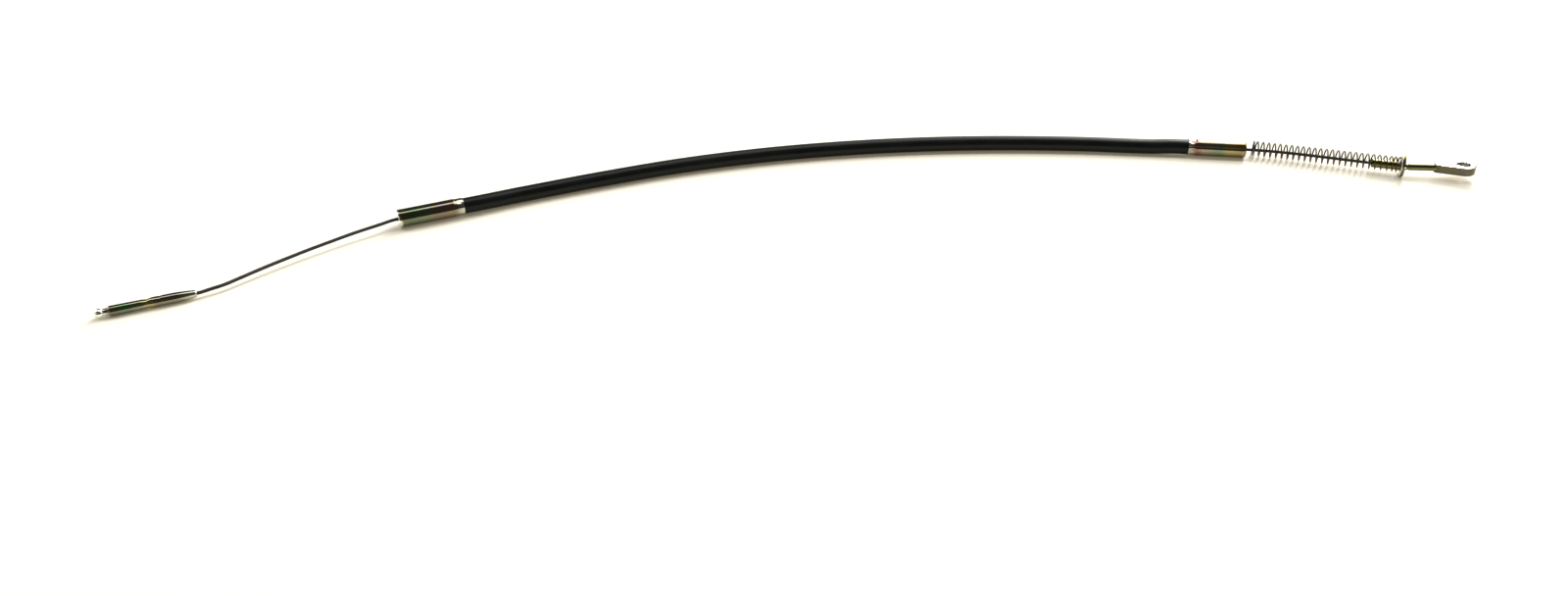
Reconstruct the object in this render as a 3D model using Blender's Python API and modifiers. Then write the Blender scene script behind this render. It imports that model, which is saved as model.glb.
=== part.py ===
"""Door release cable: a wire rope that slides in a short curved casing.

Pulling the left terminal draws the rope out of the casing. The right terminal then
moves towards the casing and squeezes the return spring, which pushes it back.
Metres, +Z up, lying on the plane z = 0, origin under the middle of the whole cable.
"""

import math

import bmesh
import bpy
import numpy as np
from mathutils import Matrix, Vector

# Rope and casing, from the middle outwards
cable_diameter = 0.00125
running_gap = 0.00028
liner_wall = 0.0004
layer_gap = 0.0001
conduit_wall = 0.00065
jacket_wall = 0.00065

# Ferrules, pressed on the casing's ends
left_ferrule_length = 0.0242
right_ferrule_length = 0.0227
ferrule_wall = 0.0003
ferrule_clearance = 0.00013
ferrule_end_wall = 0.0012
ferrule_edge_radius = 0.0006
mouth_gap = 0.0004
crimp_length = 0.003
crimp_depth = 0.00012
crimp_squeeze = 0.00006
dent_depth = 0.00014
dent_count = 6
crimp_rows = 4

# Travel of the rope, how much of it stays in the ferrule, and the casing's lie
travel = 0.02
cable_hold = 0.002
end_gap = 0.0003
straight_beyond = 0.004
casing_lift = 0.00008

# Left terminal, measured from the face that the rope enters
left_mouth_end_radius = 0.0012
left_swage_length = 0.0083
left_sleeve_radius = 0.00184
left_sleeve_length = 0.0155
left_bar_radius = 0.00185
left_bar_length = 0.0118
left_bar_thinning = 0.00012
left_waist_depth = 0.00034
left_waist_length = 0.0016
left_pinch_place = 0.0113
left_pinch_depth = 0.00012
left_pinch_length = 0.0008
left_neck_radius = 0.0013
left_neck_length = 0.0021
left_head_radius = 0.00163
left_head_shoulder = 35.0
terminal_edge = 0.0002
terminal_bore_depth = 0.01
terminal_bore_gap = 0.0002

# Return spring
spring_wire = 0.0006
spring_diameter = 0.0062
spring_free_length = 0.0557
spring_active_turns = 23.5
spring_left_closed = 1.0
closed_coil_gap = 0.00007
spring_right_turns = 2.0
spring_right_pitch = 0.0015
spring_start_angle = -90.0
spring_stand_off = 0.0025
spring_side_offset = 0.0022

# Washer between the spring and the right terminal
washer_diameter = 0.0092
washer_thickness = 0.0014
washer_chamfer = 0.00015
washer_clearance = 0.0001
washer_lift = 0.00002
washer_gap = 0.0001

# Right terminal: an inner sleeve, a narrow neck, an outer sleeve and an eye;
# two ears on the neck hold the washer from behind
inner_sleeve_radius = 0.0017
inner_sleeve_length = 0.0105
terminal_drop = 0.0006
right_neck_radius = 0.00125
right_neck_length = 0.0015
outer_sleeve_radius = 0.0014
outer_sleeve_length = 0.0102
outer_sleeve_taper = 0.0015
ear_span = 0.0052
ear_width = 0.0009
ear_length = 0.0006
ear_gap = 0.00005
eye_length = 0.015
eye_radius = 0.0042
eye_hole_radius = 0.002
eye_thickness = 0.0034
eye_edge_radius = 0.0004
eye_root_width = 0.00276
eye_root_depth = 0.0005

# Where the ends lie and how they turn, seen from above
left_mouth_place = (-0.1628, -0.0023)
left_ferrule_heading = 24.5
right_mouth_place = (0.1643, 0.0558)
right_ferrule_heading = -6.3
spring_heading = -18.0
left_terminal_place = (-0.2189, -0.0513)
left_terminal_heading = 24.5
eye_heading = -6.5
eye_rise = 1.5

# Points that the casing and the bare rope pass through, between their ends
casing_points = [
    (-0.1193, 0.0184),
    (-0.0910, 0.0308),
    (-0.0614, 0.0422),
    (-0.0306, 0.0511),
    (0.0009, 0.0573),
    (0.0329, 0.0611),
    (0.0649, 0.0625),
    (0.0966, 0.0618),
    (0.1260, 0.0595),
]
rope_points = [
    (-0.1688, -0.0066),
    (-0.1759, -0.0120),
    (-0.1827, -0.0179),
    (-0.1894, -0.0239),
    (-0.1958, -0.0301),
    (-0.2021, -0.0365),
    (-0.2074, -0.0422),
    (-0.2112, -0.0461),
    (-0.2148, -0.0486),
]
casing_spacing = 0.014
rope_spacing = 0.003
coil_points_a_turn = 12

# Sides of the round pieces
jacket_sides = 16
conduit_sides = 12
liner_sides = 10
rope_sides = 8
turned_steps = 32
swage_steps = 5
washer_steps = 40
hole_steps = 28
eye_rim_steps = 22


def circumscribed(flat_distance, sides):
    """Radius to the corners of a regular polygon whose sides lie at flat_distance."""
    return flat_distance / math.cos(math.pi / sides)


cable_radius = cable_diameter / 2
liner_bore = cable_radius + running_gap
liner_radius = circumscribed(liner_bore + liner_wall, liner_sides)
conduit_bore = liner_radius + layer_gap
conduit_radius = circumscribed(conduit_bore + conduit_wall, conduit_sides)
jacket_bore = conduit_radius + layer_gap
jacket_radius = circumscribed(jacket_bore + jacket_wall, jacket_sides)
ferrule_bore = jacket_radius + ferrule_clearance
ferrule_radius = ferrule_bore + ferrule_wall
mouth_radius = cable_radius + mouth_gap
terminal_bore = cable_radius + terminal_bore_gap
spring_radius = (spring_diameter - spring_wire) / 2
washer_radius = washer_diameter / 2
washer_bore = inner_sleeve_radius + terminal_drop + washer_clearance


def heading_vector(heading, rise=0.0):
    """Unit vector that points along a heading and a rise, both in degrees."""
    turn, lift = math.radians(heading), math.radians(rise)
    flat = math.cos(lift)
    return Vector((flat * math.cos(turn), flat * math.sin(turn), math.sin(lift)))


# The casing's straight ends
left_axis = heading_vector(left_ferrule_heading)
left_mouth = Vector((*left_mouth_place, ferrule_radius))
left_straight = max(left_ferrule_length, travel + cable_hold) + straight_beyond
right_axis = heading_vector(right_ferrule_heading)
right_mouth = Vector((*right_mouth_place, ferrule_radius))
right_straight = right_ferrule_length + straight_beyond
casing_height = jacket_radius + casing_lift

# The spring's line climbs from the ferrule's middle to the washer's, which is larger
washer_distance = spring_stand_off + spring_free_length + washer_gap + washer_thickness / 2
washer_height = washer_radius + washer_lift
spring_rise = math.degrees(math.asin((washer_height - ferrule_radius) / washer_distance))
spring_axis = heading_vector(spring_heading, spring_rise)
spring_side = Vector((0, 0, 1)).cross(spring_axis).normalized()
spring_root = right_mouth + spring_side * spring_side_offset
spring_start = spring_root + spring_axis * spring_stand_off
washer_middle = spring_root + spring_axis * washer_distance
washer_back = washer_middle + spring_axis * washer_thickness / 2

# The right terminal lies low in the washer's hole
terminal_face = washer_back - Vector((0, 0, terminal_drop))
neck_bend = terminal_face + spring_axis * right_neck_length / 2
eye_axis = heading_vector(eye_heading, eye_rise)
inner_sleeve_end = terminal_face - spring_axis * (washer_thickness + inner_sleeve_length)

left_terminal_axis = heading_vector(left_terminal_heading)
left_terminal_face = Vector((*left_terminal_place, left_bar_radius))


def clear_scene():
    for item in list(bpy.data.objects):
        bpy.data.objects.remove(item, do_unlink=True)


def new_collection(name):
    collection = bpy.data.collections.new(name)
    bpy.context.scene.collection.children.link(collection)
    return collection


def new_material(name, colour, roughness, metallic):
    material = bpy.data.materials.new(name)
    material.use_nodes = True
    shader = material.node_tree.nodes["Principled BSDF"]
    shader.inputs["Base Color"].default_value = (*colour, 1.0)
    shader.inputs["Roughness"].default_value = roughness
    shader.inputs["Metallic"].default_value = metallic
    return material


def axis_frame(place, axis):
    """Placement whose local +Z runs along axis and whose local X stays level."""
    across = Vector((0, 0, 1)).cross(axis).normalized()
    upward = axis.cross(across)
    turn = Matrix((across, upward, axis)).transposed()
    return Matrix.Translation(place) @ turn.to_4x4()


def flat_frame(place, axis):
    """Placement whose local X runs along axis and whose local Z stays nearly upright."""
    across = Vector((0, 0, 1)).cross(axis).normalized()
    upward = axis.cross(across)
    turn = Matrix((axis, across, upward)).transposed()
    return Matrix.Translation(place) @ turn.to_4x4()


def smooth_route(points, first_direction, last_direction, spacing):
    """Evenly spaced points on a smooth curve through points, with set end directions.

    Each stretch is a cubic whose end slopes are the chord between its neighbours.
    """
    knots = np.array([tuple(point) for point in points])
    lengths = np.linalg.norm(np.diff(knots, axis=0), axis=1)
    slopes = np.empty_like(knots)
    slopes[0], slopes[-1] = first_direction, last_direction
    for i in range(1, len(knots) - 1):
        chord = knots[i + 1] - knots[i - 1]
        slopes[i] = chord / np.linalg.norm(chord)
    samples = []
    t = np.linspace(0.0, 1.0, 40, endpoint=False)[:, None]
    for i, length in enumerate(lengths):
        start, finish = knots[i], knots[i + 1]
        samples.append(
            (2 * t**3 - 3 * t**2 + 1) * start
            + (t**3 - 2 * t**2 + t) * length * slopes[i]
            + (3 * t**2 - 2 * t**3) * finish
            + (t**3 - t**2) * length * slopes[i + 1]
        )
    samples.append(knots[-1:])
    fine = np.concatenate(samples)
    along = np.concatenate([[0.0], np.cumsum(np.linalg.norm(np.diff(fine, axis=0), axis=1))])
    count = max(2, round(along[-1] / spacing) + 1)
    places = np.linspace(0.0, along[-1], count)
    return np.stack([np.interp(places, along, fine[:, k]) for k in range(3)], axis=1)


def add_wire(name, points, radius, sides, capped=True):
    """Round bar along the points, as a curve with a bevel."""
    data = bpy.data.curves.new(name, "CURVE")
    data.dimensions = "3D"
    data.fill_mode = "FULL"
    data.bevel_depth = radius
    data.bevel_resolution = sides // 2 - 2
    data.use_fill_caps = capped
    spline = data.splines.new("POLY")
    spline.points.add(len(points) - 1)
    for point, place in zip(spline.points, points):
        point.co = (*place, 1.0)
    item = bpy.data.objects.new(name, data)
    parts.objects.link(item)
    return item


def add_tube(name, points, radius, wall, sides):
    """Open tube along the points, whose wall grows inwards from radius."""
    item = add_wire(name, points, radius, sides, capped=False)
    shell = item.modifiers.new("wall", "SOLIDIFY")
    shell.thickness = wall
    shell.offset = -1.0
    shell.use_even_offset = True
    return item


def add_turned(name, profile, closed, steps, frame, collection):
    """Turned piece: the profile of (height, radius) pairs is swept round local Z."""
    data = bpy.data.meshes.new(name)
    corners = [(radius, 0.0, height) for height, radius in profile]
    edges = [(i, i + 1) for i in range(len(corners) - 1)]
    if closed:
        edges.append((len(corners) - 1, 0))
    data.from_pydata(corners, edges, [])
    item = bpy.data.objects.new(name, data)
    collection.objects.link(item)
    item.matrix_world = frame
    screw = item.modifiers.new("turn", "SCREW")
    screw.steps = steps
    screw.render_steps = steps
    screw.use_merge_vertices = True
    screw.merge_threshold = 0.00001
    screw.use_normal_calculate = False
    return item


def as_mesh(item, join_flats=False):
    """Plain mesh copy of an object as it looks with its modifiers; the original goes."""
    bpy.context.view_layer.update()
    graph = bpy.context.evaluated_depsgraph_get()
    data = bpy.data.meshes.new_from_object(item.evaluated_get(graph), depsgraph=graph)
    work = bmesh.new()
    work.from_mesh(data)
    bmesh.ops.remove_doubles(work, verts=work.verts, dist=0.000001)
    if join_flats:
        bmesh.ops.dissolve_limit(work, angle_limit=0.01, verts=work.verts, edges=work.edges)
    work.to_mesh(data)
    work.free()
    name, frame, collection = item.name, item.matrix_world.copy(), item.users_collection[0]
    bpy.data.objects.remove(item, do_unlink=True)
    result = bpy.data.objects.new(name, data)
    collection.objects.link(result)
    result.matrix_world = frame
    return result


def add_boolean(item, tool, operation):
    step = item.modifiers.new(operation.lower(), "BOOLEAN")
    step.operation = operation
    step.solver = "EXACT"
    step.object = tool
    tool.hide_render = True
    tool.display_type = "WIRE"


def finish(item, material, sharp_angle=40.0):
    """Give the piece its material and round shading."""
    item.data.materials.clear()
    item.data.materials.append(material)
    if item.type == "MESH":
        item.data.shade_smooth()
        item.data.set_sharp_from_angle(angle=math.radians(sharp_angle))
    else:
        for spline in item.data.splines:
            spline.use_smooth = True
    return item


def arc(middle_height, middle_radius, radius, first, last, count):
    """Points of a turned profile on an arc; angles in degrees from the outward side."""
    angles = [math.radians(first + (last - first) * i / (count - 1)) for i in range(count)]
    return [(middle_height + radius * math.sin(a), middle_radius + radius * math.cos(a)) for a in angles]


def build_casing():
    """Jacket, steel conduit and liner on one middle line, and the rope inside them."""
    start = left_mouth + left_axis * (ferrule_end_wall + end_gap)
    straight_start = left_mouth + left_axis * left_straight
    straight_end = right_mouth - right_axis * right_straight
    end = right_mouth - right_axis * (ferrule_end_wall + end_gap)
    knots = [straight_start] + [Vector((x, y, casing_height)) for x, y in casing_points] + [straight_end]
    bend = smooth_route(knots, left_axis, right_axis, casing_spacing)
    line = [tuple(start)] + [tuple(point) for point in bend] + [tuple(end)]
    jacket = add_tube("outer_jacket", line, jacket_radius, jacket_wall, jacket_sides)
    conduit = add_tube("steel_conduit", line, conduit_radius, conduit_wall, conduit_sides)
    liner = add_tube("liner_tube", line, liner_radius, liner_wall, liner_sides)
    core_start = left_mouth + left_axis * (travel + cable_hold + end_gap)
    core_end = right_mouth - right_axis * (cable_hold + end_gap)
    core_line = [tuple(core_start)] + line[1:-1] + [tuple(core_end)]
    core = add_wire("casing_cable", core_line, cable_radius, rope_sides)
    finish(jacket, black_plastic)
    finish(conduit, spring_steel)
    finish(liner, pale_plastic)
    finish(core, rope_steel)


def build_ferrule(name, mouth, axis, length):
    """Deep-drawn cup with a hole for the rope, crimped on the casing at its open end."""
    edge = ferrule_edge_radius
    crimp_top = crimp_length - length
    blend = crimp_depth * 4
    crimped = ferrule_radius - crimp_depth
    crimped_bore = ferrule_bore - crimp_squeeze
    profile = [(0.0, mouth_radius)]
    profile += arc(-edge, ferrule_radius - edge, edge, 90.0, 0.0, 4)
    profile += [
        (crimp_top + blend, ferrule_radius),
        *[(crimp_top - crimp_length * row / crimp_rows, crimped) for row in range(crimp_rows + 1)],
        (-length, crimped_bore),
        (crimp_top, crimped_bore),
        (crimp_top + blend, ferrule_bore),
        (-ferrule_end_wall, ferrule_bore),
        (-ferrule_end_wall, mouth_radius),
    ]
    item = add_turned(name, profile, True, turned_steps, axis_frame(mouth, axis), parts)
    item = as_mesh(item)
    for corner in item.data.vertices:
        x, y, height = corner.co
        reach = math.hypot(x, y)
        share = (height + length) / crimp_length
        if share <= 1.0 and reach > (crimped + crimped_bore) / 2:
            depth = dent_depth * math.sin(math.pi * max(0.0, share))
            depth *= max(0.0, math.cos(dent_count * math.atan2(y, x)))
            corner.co.x -= x / reach * depth
            corner.co.y -= y / reach * depth
    return finish(item, plated_zinc)


def build_left_terminal():
    """Crimped sleeve, waist, thicker bar, short neck and rounded head, turned as one."""
    sleeve, bar, neck = left_sleeve_radius, left_bar_radius, left_neck_radius
    edge, waist, pinch = terminal_edge, left_waist_length, left_pinch_length
    bar_start = left_sleeve_length + waist
    thin_bar = bar - left_bar_thinning
    swell = sleeve - left_mouth_end_radius
    swage = [math.pi / 2 * step / swage_steps for step in range(1, swage_steps + 1)]
    bar_end = left_sleeve_length + left_bar_length
    neck_end = bar_end + left_neck_length
    shoulder = math.radians(left_head_shoulder)
    head_middle = neck_end + left_head_radius * math.sin(shoulder)
    profile = [
        (-terminal_bore_depth, 0.0),
        (-terminal_bore_depth, terminal_bore),
        (0.0, terminal_bore),
        (0.0, left_mouth_end_radius - edge),
        (-edge, left_mouth_end_radius),
        *[(-left_swage_length * turn / swage[-1], sleeve - swell * (1 - math.sin(turn))) for turn in swage],
        (-(left_pinch_place - pinch), sleeve),
        (-left_pinch_place, sleeve - left_pinch_depth),
        (-(left_pinch_place + pinch), sleeve),
        (-(left_sleeve_length - waist), sleeve),
        (-left_sleeve_length, sleeve - left_waist_depth),
        (-bar_start, thin_bar),
        (-(bar_start + bar_end) / 2, (bar + thin_bar) / 2),
        (-(bar_end - edge), bar),
        (-bar_end, bar - edge),
        (-(bar_end + edge), neck),
        (-neck_end, neck),
    ]
    profile += arc(-head_middle, 0.0, left_head_radius, left_head_shoulder, -90.0, 9)
    frame = axis_frame(left_terminal_face, left_terminal_axis)
    item = add_turned("left_terminal", profile, False, turned_steps, frame, parts)
    return finish(item, plated_zinc, sharp_angle=50.0)


def build_left_rope():
    """Bare rope from inside the left ferrule to the bottom of the terminal's bore."""
    inner = left_mouth + left_axis * (travel + cable_hold)
    end = left_terminal_face - left_terminal_axis * (terminal_bore_depth - end_gap)
    height = np.linspace(left_mouth.z, left_terminal_face.z, len(rope_points) + 2)[1:-1]
    places = [Vector((x, y, z)) for (x, y), z in zip(rope_points, height)]
    knots = [left_mouth] + places + [left_terminal_face]
    bend = smooth_route(knots, -left_axis, -left_terminal_axis, rope_spacing)
    line = [tuple(inner)] + [tuple(point) for point in bend] + [tuple(end)]
    return finish(add_wire("left_cable", line, cable_radius, rope_sides), rope_steel)


def build_right_rope():
    """Rope from the right ferrule's mouth through the spring to the terminal's bore."""
    inner = right_mouth - right_axis * cable_hold
    end = inner_sleeve_end + spring_axis * (terminal_bore_depth - end_gap)
    bend = smooth_route([right_mouth, inner_sleeve_end], right_axis, spring_axis, rope_spacing)
    line = [tuple(inner)] + [tuple(point) for point in bend] + [tuple(end)]
    return finish(add_wire("right_cable", line, cable_radius, rope_sides), rope_steel)


def build_spring():
    """Compression spring, close at the left end and closing up towards the right one."""
    left_height = spring_left_closed * (spring_wire + closed_coil_gap)
    top = spring_free_length - spring_wire
    right_height = top - spring_right_turns * spring_right_pitch
    right_start = spring_left_closed + spring_active_turns
    total = right_start + spring_right_turns
    steps = round(total * coil_points_a_turn)
    turns = np.linspace(0.0, total, steps + 1)
    corners = [0.0, spring_left_closed, right_start, total]
    height = np.interp(turns, corners, [0.0, left_height, right_height, top])
    frame = axis_frame(spring_start + spring_axis * spring_wire / 2, spring_axis)
    angle = 2 * math.pi * turns + math.radians(spring_start_angle)
    coil = [
        tuple(frame @ Vector((spring_radius * math.cos(a), spring_radius * math.sin(a), h)))
        for a, h in zip(angle, height)
    ]
    return finish(add_wire("return_spring", coil, spring_wire / 2, rope_sides), spring_zinc)


def build_washer():
    """Flat ring with broken edges, square to the spring."""
    half, edge = washer_thickness / 2, washer_chamfer
    profile = [
        (half, washer_bore),
        (half, washer_radius - edge),
        (half - edge, washer_radius),
        (edge - half, washer_radius),
        (-half, washer_radius - edge),
        (-half, washer_bore),
    ]
    frame = axis_frame(washer_middle, spring_axis)
    item = add_turned("spring_washer", profile, True, washer_steps, frame, parts)
    return finish(item, plated_zinc)


def eye_outline():
    """Plan of the eye blade: two straight sides that run into a round end."""
    half_width = eye_root_width / 2
    middle = eye_length - eye_radius
    spread = math.asin(eye_radius / math.hypot(middle, half_width)) - math.atan2(half_width, middle)
    first, last = math.pi / 2 + spread, -math.pi / 2 - spread
    turns = np.linspace(first, last, eye_rim_steps + 1)
    rim = [(middle + eye_radius * math.cos(a), eye_radius * math.sin(a)) for a in turns]
    return [(-eye_root_depth, -half_width), (-eye_root_depth, half_width)] + rim


def build_right_terminal():
    """Sleeve in the spring, neck with an ear on each side, outer sleeve and flat eye."""
    sleeve_face = washer_thickness + inner_sleeve_length + right_neck_length / 2
    neck_face = right_neck_length / 2
    edge = terminal_edge
    profile = [
        (sleeve_face - terminal_bore_depth, 0.0),
        (sleeve_face - terminal_bore_depth, terminal_bore),
        (sleeve_face, terminal_bore),
        (sleeve_face, inner_sleeve_radius - edge),
        (sleeve_face - edge, inner_sleeve_radius),
        (neck_face, inner_sleeve_radius),
        (neck_face, right_neck_radius),
    ]
    profile += arc(0.0, 0.0, right_neck_radius, 0.0, -90.0, 6)
    frame = axis_frame(neck_bend, -spring_axis)
    item = add_turned("right_terminal", profile, False, turned_steps, frame, parts)

    stem_radius = right_neck_radius - edge / 2
    sleeve_end = neck_face + outer_sleeve_length
    taper_end = sleeve_end + outer_sleeve_taper
    profile = [
        (neck_face / 2, 0.0),
        (neck_face / 2, stem_radius),
        (-neck_face, stem_radius),
        (-neck_face, outer_sleeve_radius - edge),
        (-neck_face - edge, outer_sleeve_radius),
        (-sleeve_end, outer_sleeve_radius),
        (-taper_end, outer_sleeve_radius - 2 * edge),
        (-taper_end, 0.0),
    ]
    frame = axis_frame(neck_bend, -eye_axis)
    outer_sleeve = add_turned("outer_sleeve_form", profile, False, turned_steps, frame, forms)

    ears = bpy.data.objects.new("ear_form", bpy.data.meshes.new("ear_form"))
    forms.objects.link(ears)
    work = bmesh.new()
    bmesh.ops.create_cube(work, size=1.0)
    bmesh.ops.scale(work, vec=(ear_length, ear_span, ear_width), verts=work.verts)
    work.to_mesh(ears.data)
    work.free()
    ear_middle = terminal_face + spring_axis * (ear_gap + ear_length / 2)
    ears.matrix_world = flat_frame(ear_middle, spring_axis)

    data = bpy.data.curves.new("eye_form", "CURVE")
    data.dimensions = "2D"
    data.fill_mode = "BOTH"
    data.extrude = eye_thickness / 2
    spline = data.splines.new("POLY")
    outline = eye_outline()
    spline.points.add(len(outline) - 1)
    for point, (x, y) in zip(spline.points, outline):
        point.co = (x, y, 0.0, 1.0)
    spline.use_cyclic_u = True
    blade = bpy.data.objects.new("eye_form", data)
    forms.objects.link(blade)
    blade.matrix_world = flat_frame(neck_bend + eye_axis * sleeve_end, eye_axis)
    blade = as_mesh(blade, join_flats=True)
    rounding = blade.modifiers.new("edges", "BEVEL")
    rounding.width = eye_edge_radius
    rounding.segments = 2
    rounding.limit_method = "ANGLE"
    rounding.angle_limit = math.radians(50.0)

    hole = bpy.data.objects.new("eye_hole_form", bpy.data.meshes.new("eye_hole_form"))
    forms.objects.link(hole)
    work = bmesh.new()
    bmesh.ops.create_cone(
        work,
        cap_ends=True,
        segments=hole_steps,
        radius1=eye_hole_radius,
        radius2=eye_hole_radius,
        depth=eye_thickness * 2,
    )
    work.to_mesh(hole.data)
    work.free()
    eye_middle = neck_bend + eye_axis * (sleeve_end + eye_length - eye_radius)
    hole.matrix_world = flat_frame(eye_middle, eye_axis)

    add_boolean(item, outer_sleeve, "UNION")
    add_boolean(item, ears, "UNION")
    add_boolean(item, blade, "UNION")
    add_boolean(item, hole, "DIFFERENCE")
    return finish(item, plated_zinc)


def carry(name, place, axis, pieces):
    """Empty on a joint's line that carries the pieces which move along it."""
    empty = bpy.data.objects.new(name, None)
    parts.objects.link(empty)
    empty.matrix_world = axis_frame(place, axis)
    bpy.context.view_layer.update()
    for piece in pieces:
        piece.parent = empty
        piece.matrix_parent_inverse = empty.matrix_world.inverted()


clear_scene()
parts = new_collection("door_release_cable")
forms = new_collection("forms")
black_plastic = new_material("black plastic", (0.012, 0.014, 0.013), 0.42, 0.0)
pale_plastic = new_material("pale plastic", (0.75, 0.74, 0.68), 0.45, 0.0)
spring_steel = new_material("conduit steel", (0.36, 0.36, 0.35), 0.4, 1.0)
rope_steel = new_material("rope steel", (0.16, 0.16, 0.15), 0.45, 1.0)
plated_zinc = new_material("yellow passivated zinc", (0.42, 0.40, 0.24), 0.24, 1.0)
spring_zinc = new_material("passivated spring wire", (0.40, 0.36, 0.24), 0.28, 1.0)

build_casing()
build_ferrule("left_ferrule", left_mouth, -left_axis, left_ferrule_length)
build_ferrule("right_ferrule", right_mouth, right_axis, right_ferrule_length)
build_spring()
left_pieces = [build_left_rope(), build_left_terminal()]
carry("left_end", left_mouth, -left_axis, left_pieces)
right_pieces = [build_washer(), build_right_terminal()]
build_right_rope()
carry("right_end", washer_middle, -spring_axis, right_pieces)
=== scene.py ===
import math

import bmesh
import bpy
import mathutils
import numpy as np
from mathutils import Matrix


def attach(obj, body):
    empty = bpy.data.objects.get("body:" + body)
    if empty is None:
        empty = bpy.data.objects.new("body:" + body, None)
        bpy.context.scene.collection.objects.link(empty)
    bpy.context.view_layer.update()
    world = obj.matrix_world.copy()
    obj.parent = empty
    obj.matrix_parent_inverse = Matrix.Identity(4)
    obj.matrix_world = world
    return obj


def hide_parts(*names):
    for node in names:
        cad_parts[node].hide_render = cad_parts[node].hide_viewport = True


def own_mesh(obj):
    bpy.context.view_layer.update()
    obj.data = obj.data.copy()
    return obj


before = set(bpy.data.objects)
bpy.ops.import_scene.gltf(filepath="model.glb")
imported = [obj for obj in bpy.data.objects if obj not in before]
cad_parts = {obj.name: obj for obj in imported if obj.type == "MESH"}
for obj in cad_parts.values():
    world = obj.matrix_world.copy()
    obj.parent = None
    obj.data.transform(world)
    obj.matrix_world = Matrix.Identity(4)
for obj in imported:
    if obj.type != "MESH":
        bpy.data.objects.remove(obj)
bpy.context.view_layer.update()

# Looks of a door release cable. Everything is in metres, in the frame of the solids.


def linearColour(code):
    # sRGB hex to the linear values that the shaders mix in
    parts = np.array([int(code[i:i + 2], 16) for i in (1, 3, 5)]) / 255
    linear = np.where(parts <= 0.04045, parts / 12.92, ((parts + 0.055) / 1.055) ** 2.4)
    return (*linear.tolist(), 1.0)


def unit(vector):
    vector = np.asarray(vector, float)
    return vector / np.linalg.norm(vector, axis=-1, keepdims=True)


def headingAxis(heading, rise=0.0):
    # unit vector along a heading and a rise in degrees
    turn, lift = math.radians(heading), math.radians(rise)
    return np.array([math.cos(lift) * math.cos(turn), math.cos(lift) * math.sin(turn), math.sin(lift)])


def smoothStep(value):
    # 0 below 0, 1 above 1, and 3t^2 - 2t^3 between
    t = np.clip(value, 0.0, 1.0)
    return t * t * (3 - 2 * t)


# Camera: the photograph's own angle, 32 degrees down, with a 31.5 mm lens
cameraLook = {"place": (-0.0212, -0.4439, 0.2453), "tilt": 58.0, "lens": 31.5, "sensor": 36.0}


def makeCamera(look):
    data = bpy.data.cameras.new("camera")
    data.lens = look["lens"]
    data.sensor_width = look["sensor"]
    data.clip_start = 0.01
    data.clip_end = 100.0
    camera = bpy.data.objects.new("camera", data)
    bpy.context.scene.collection.objects.link(camera)
    camera.location = look["place"]
    camera.rotation_euler = (math.radians(look["tilt"]), 0.0, 0.0)
    bpy.context.scene.camera = camera
    bpy.context.scene.view_settings.view_transform = "Standard"


makeCamera(cameraLook)
print("camera is set")


# Places and directions that the pieces share, as the solids have them
cablePlaces = {
    "leftMouth": (-0.1628, -0.0023, 0.0034348),
    "leftHeading": 24.5,
    "rightMouth": (0.1643, 0.0558, 0.0034348),
    "rightHeading": -6.3,
    "springHeading": -18.0,
    "springRise": 1.151086,
    "springSide": 0.0022,
    "springStandOff": 0.0025,
    "eyeHeading": -6.5,
    "eyeRise": 1.5,
    "leftFace": (-0.2189, -0.0513, 0.00185),
    "leftFaceHeading": 24.5,
    "slideTravel": 0.02,
}
leftAxis = headingAxis(cablePlaces["leftHeading"])
rightAxis = headingAxis(cablePlaces["rightHeading"])
springAxis = headingAxis(cablePlaces["springHeading"], cablePlaces["springRise"])
eyeAxis = headingAxis(cablePlaces["eyeHeading"], cablePlaces["eyeRise"])
plugAxis = headingAxis(cablePlaces["leftFaceHeading"])
leftMouth = np.array(cablePlaces["leftMouth"])
rightMouth = np.array(cablePlaces["rightMouth"])
plugFace = np.array(cablePlaces["leftFace"])
springRoot = rightMouth + unit(np.cross((0, 0, 1), springAxis)) * cablePlaces["springSide"]
springStart = springRoot + springAxis * cablePlaces["springStandOff"]


def smoothRoute(points, firstAxis, lastAxis, spacing):
    # Cubic between each two points, whose slope at a point is the chord between its neighbours:
    # (2t^3-3t^2+1)p0 + (t^3-2t^2+t)m0 + (3t^2-2t^3)p1 + (t^3-t^2)m1, then spread evenly by length
    knots = np.asarray(points, float)
    slopes = np.concatenate([[firstAxis], unit(knots[2:] - knots[:-2]), [lastAxis]])
    lengths = np.linalg.norm(np.diff(knots, axis=0), axis=1)[:, None, None]
    t = np.linspace(0.0, 1.0, 40, endpoint=False)[None, :, None]
    fine = (
        (2 * t**3 - 3 * t**2 + 1) * knots[:-1, None]
        + (t**3 - 2 * t**2 + t) * lengths * slopes[:-1, None]
        + (3 * t**2 - 2 * t**3) * knots[1:, None]
        + (t**3 - t**2) * lengths * slopes[1:, None]
    ).reshape(-1, 3)
    return evenly(np.concatenate([fine, knots[-1:]]), spacing)


def evenly(points, spacing):
    # the same line with its points at equal steps
    along = lengthAlong(points)
    places = np.linspace(0.0, along[-1], max(2, round(along[-1] / spacing) + 1))
    return np.stack([np.interp(places, along, points[:, k]) for k in range(3)], axis=1)


def lengthAlong(points):
    return np.concatenate([[0.0], np.cumsum(np.linalg.norm(np.diff(points, axis=0), axis=1))])


def levelFrames(path):
    # along the line, level across it, and the direction square to both
    ahead = unit(np.gradient(path, axis=0))
    across = unit(np.cross(np.array([0.0, 0.0, 1.0]), ahead))
    return ahead, across, np.cross(ahead, across)


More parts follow.
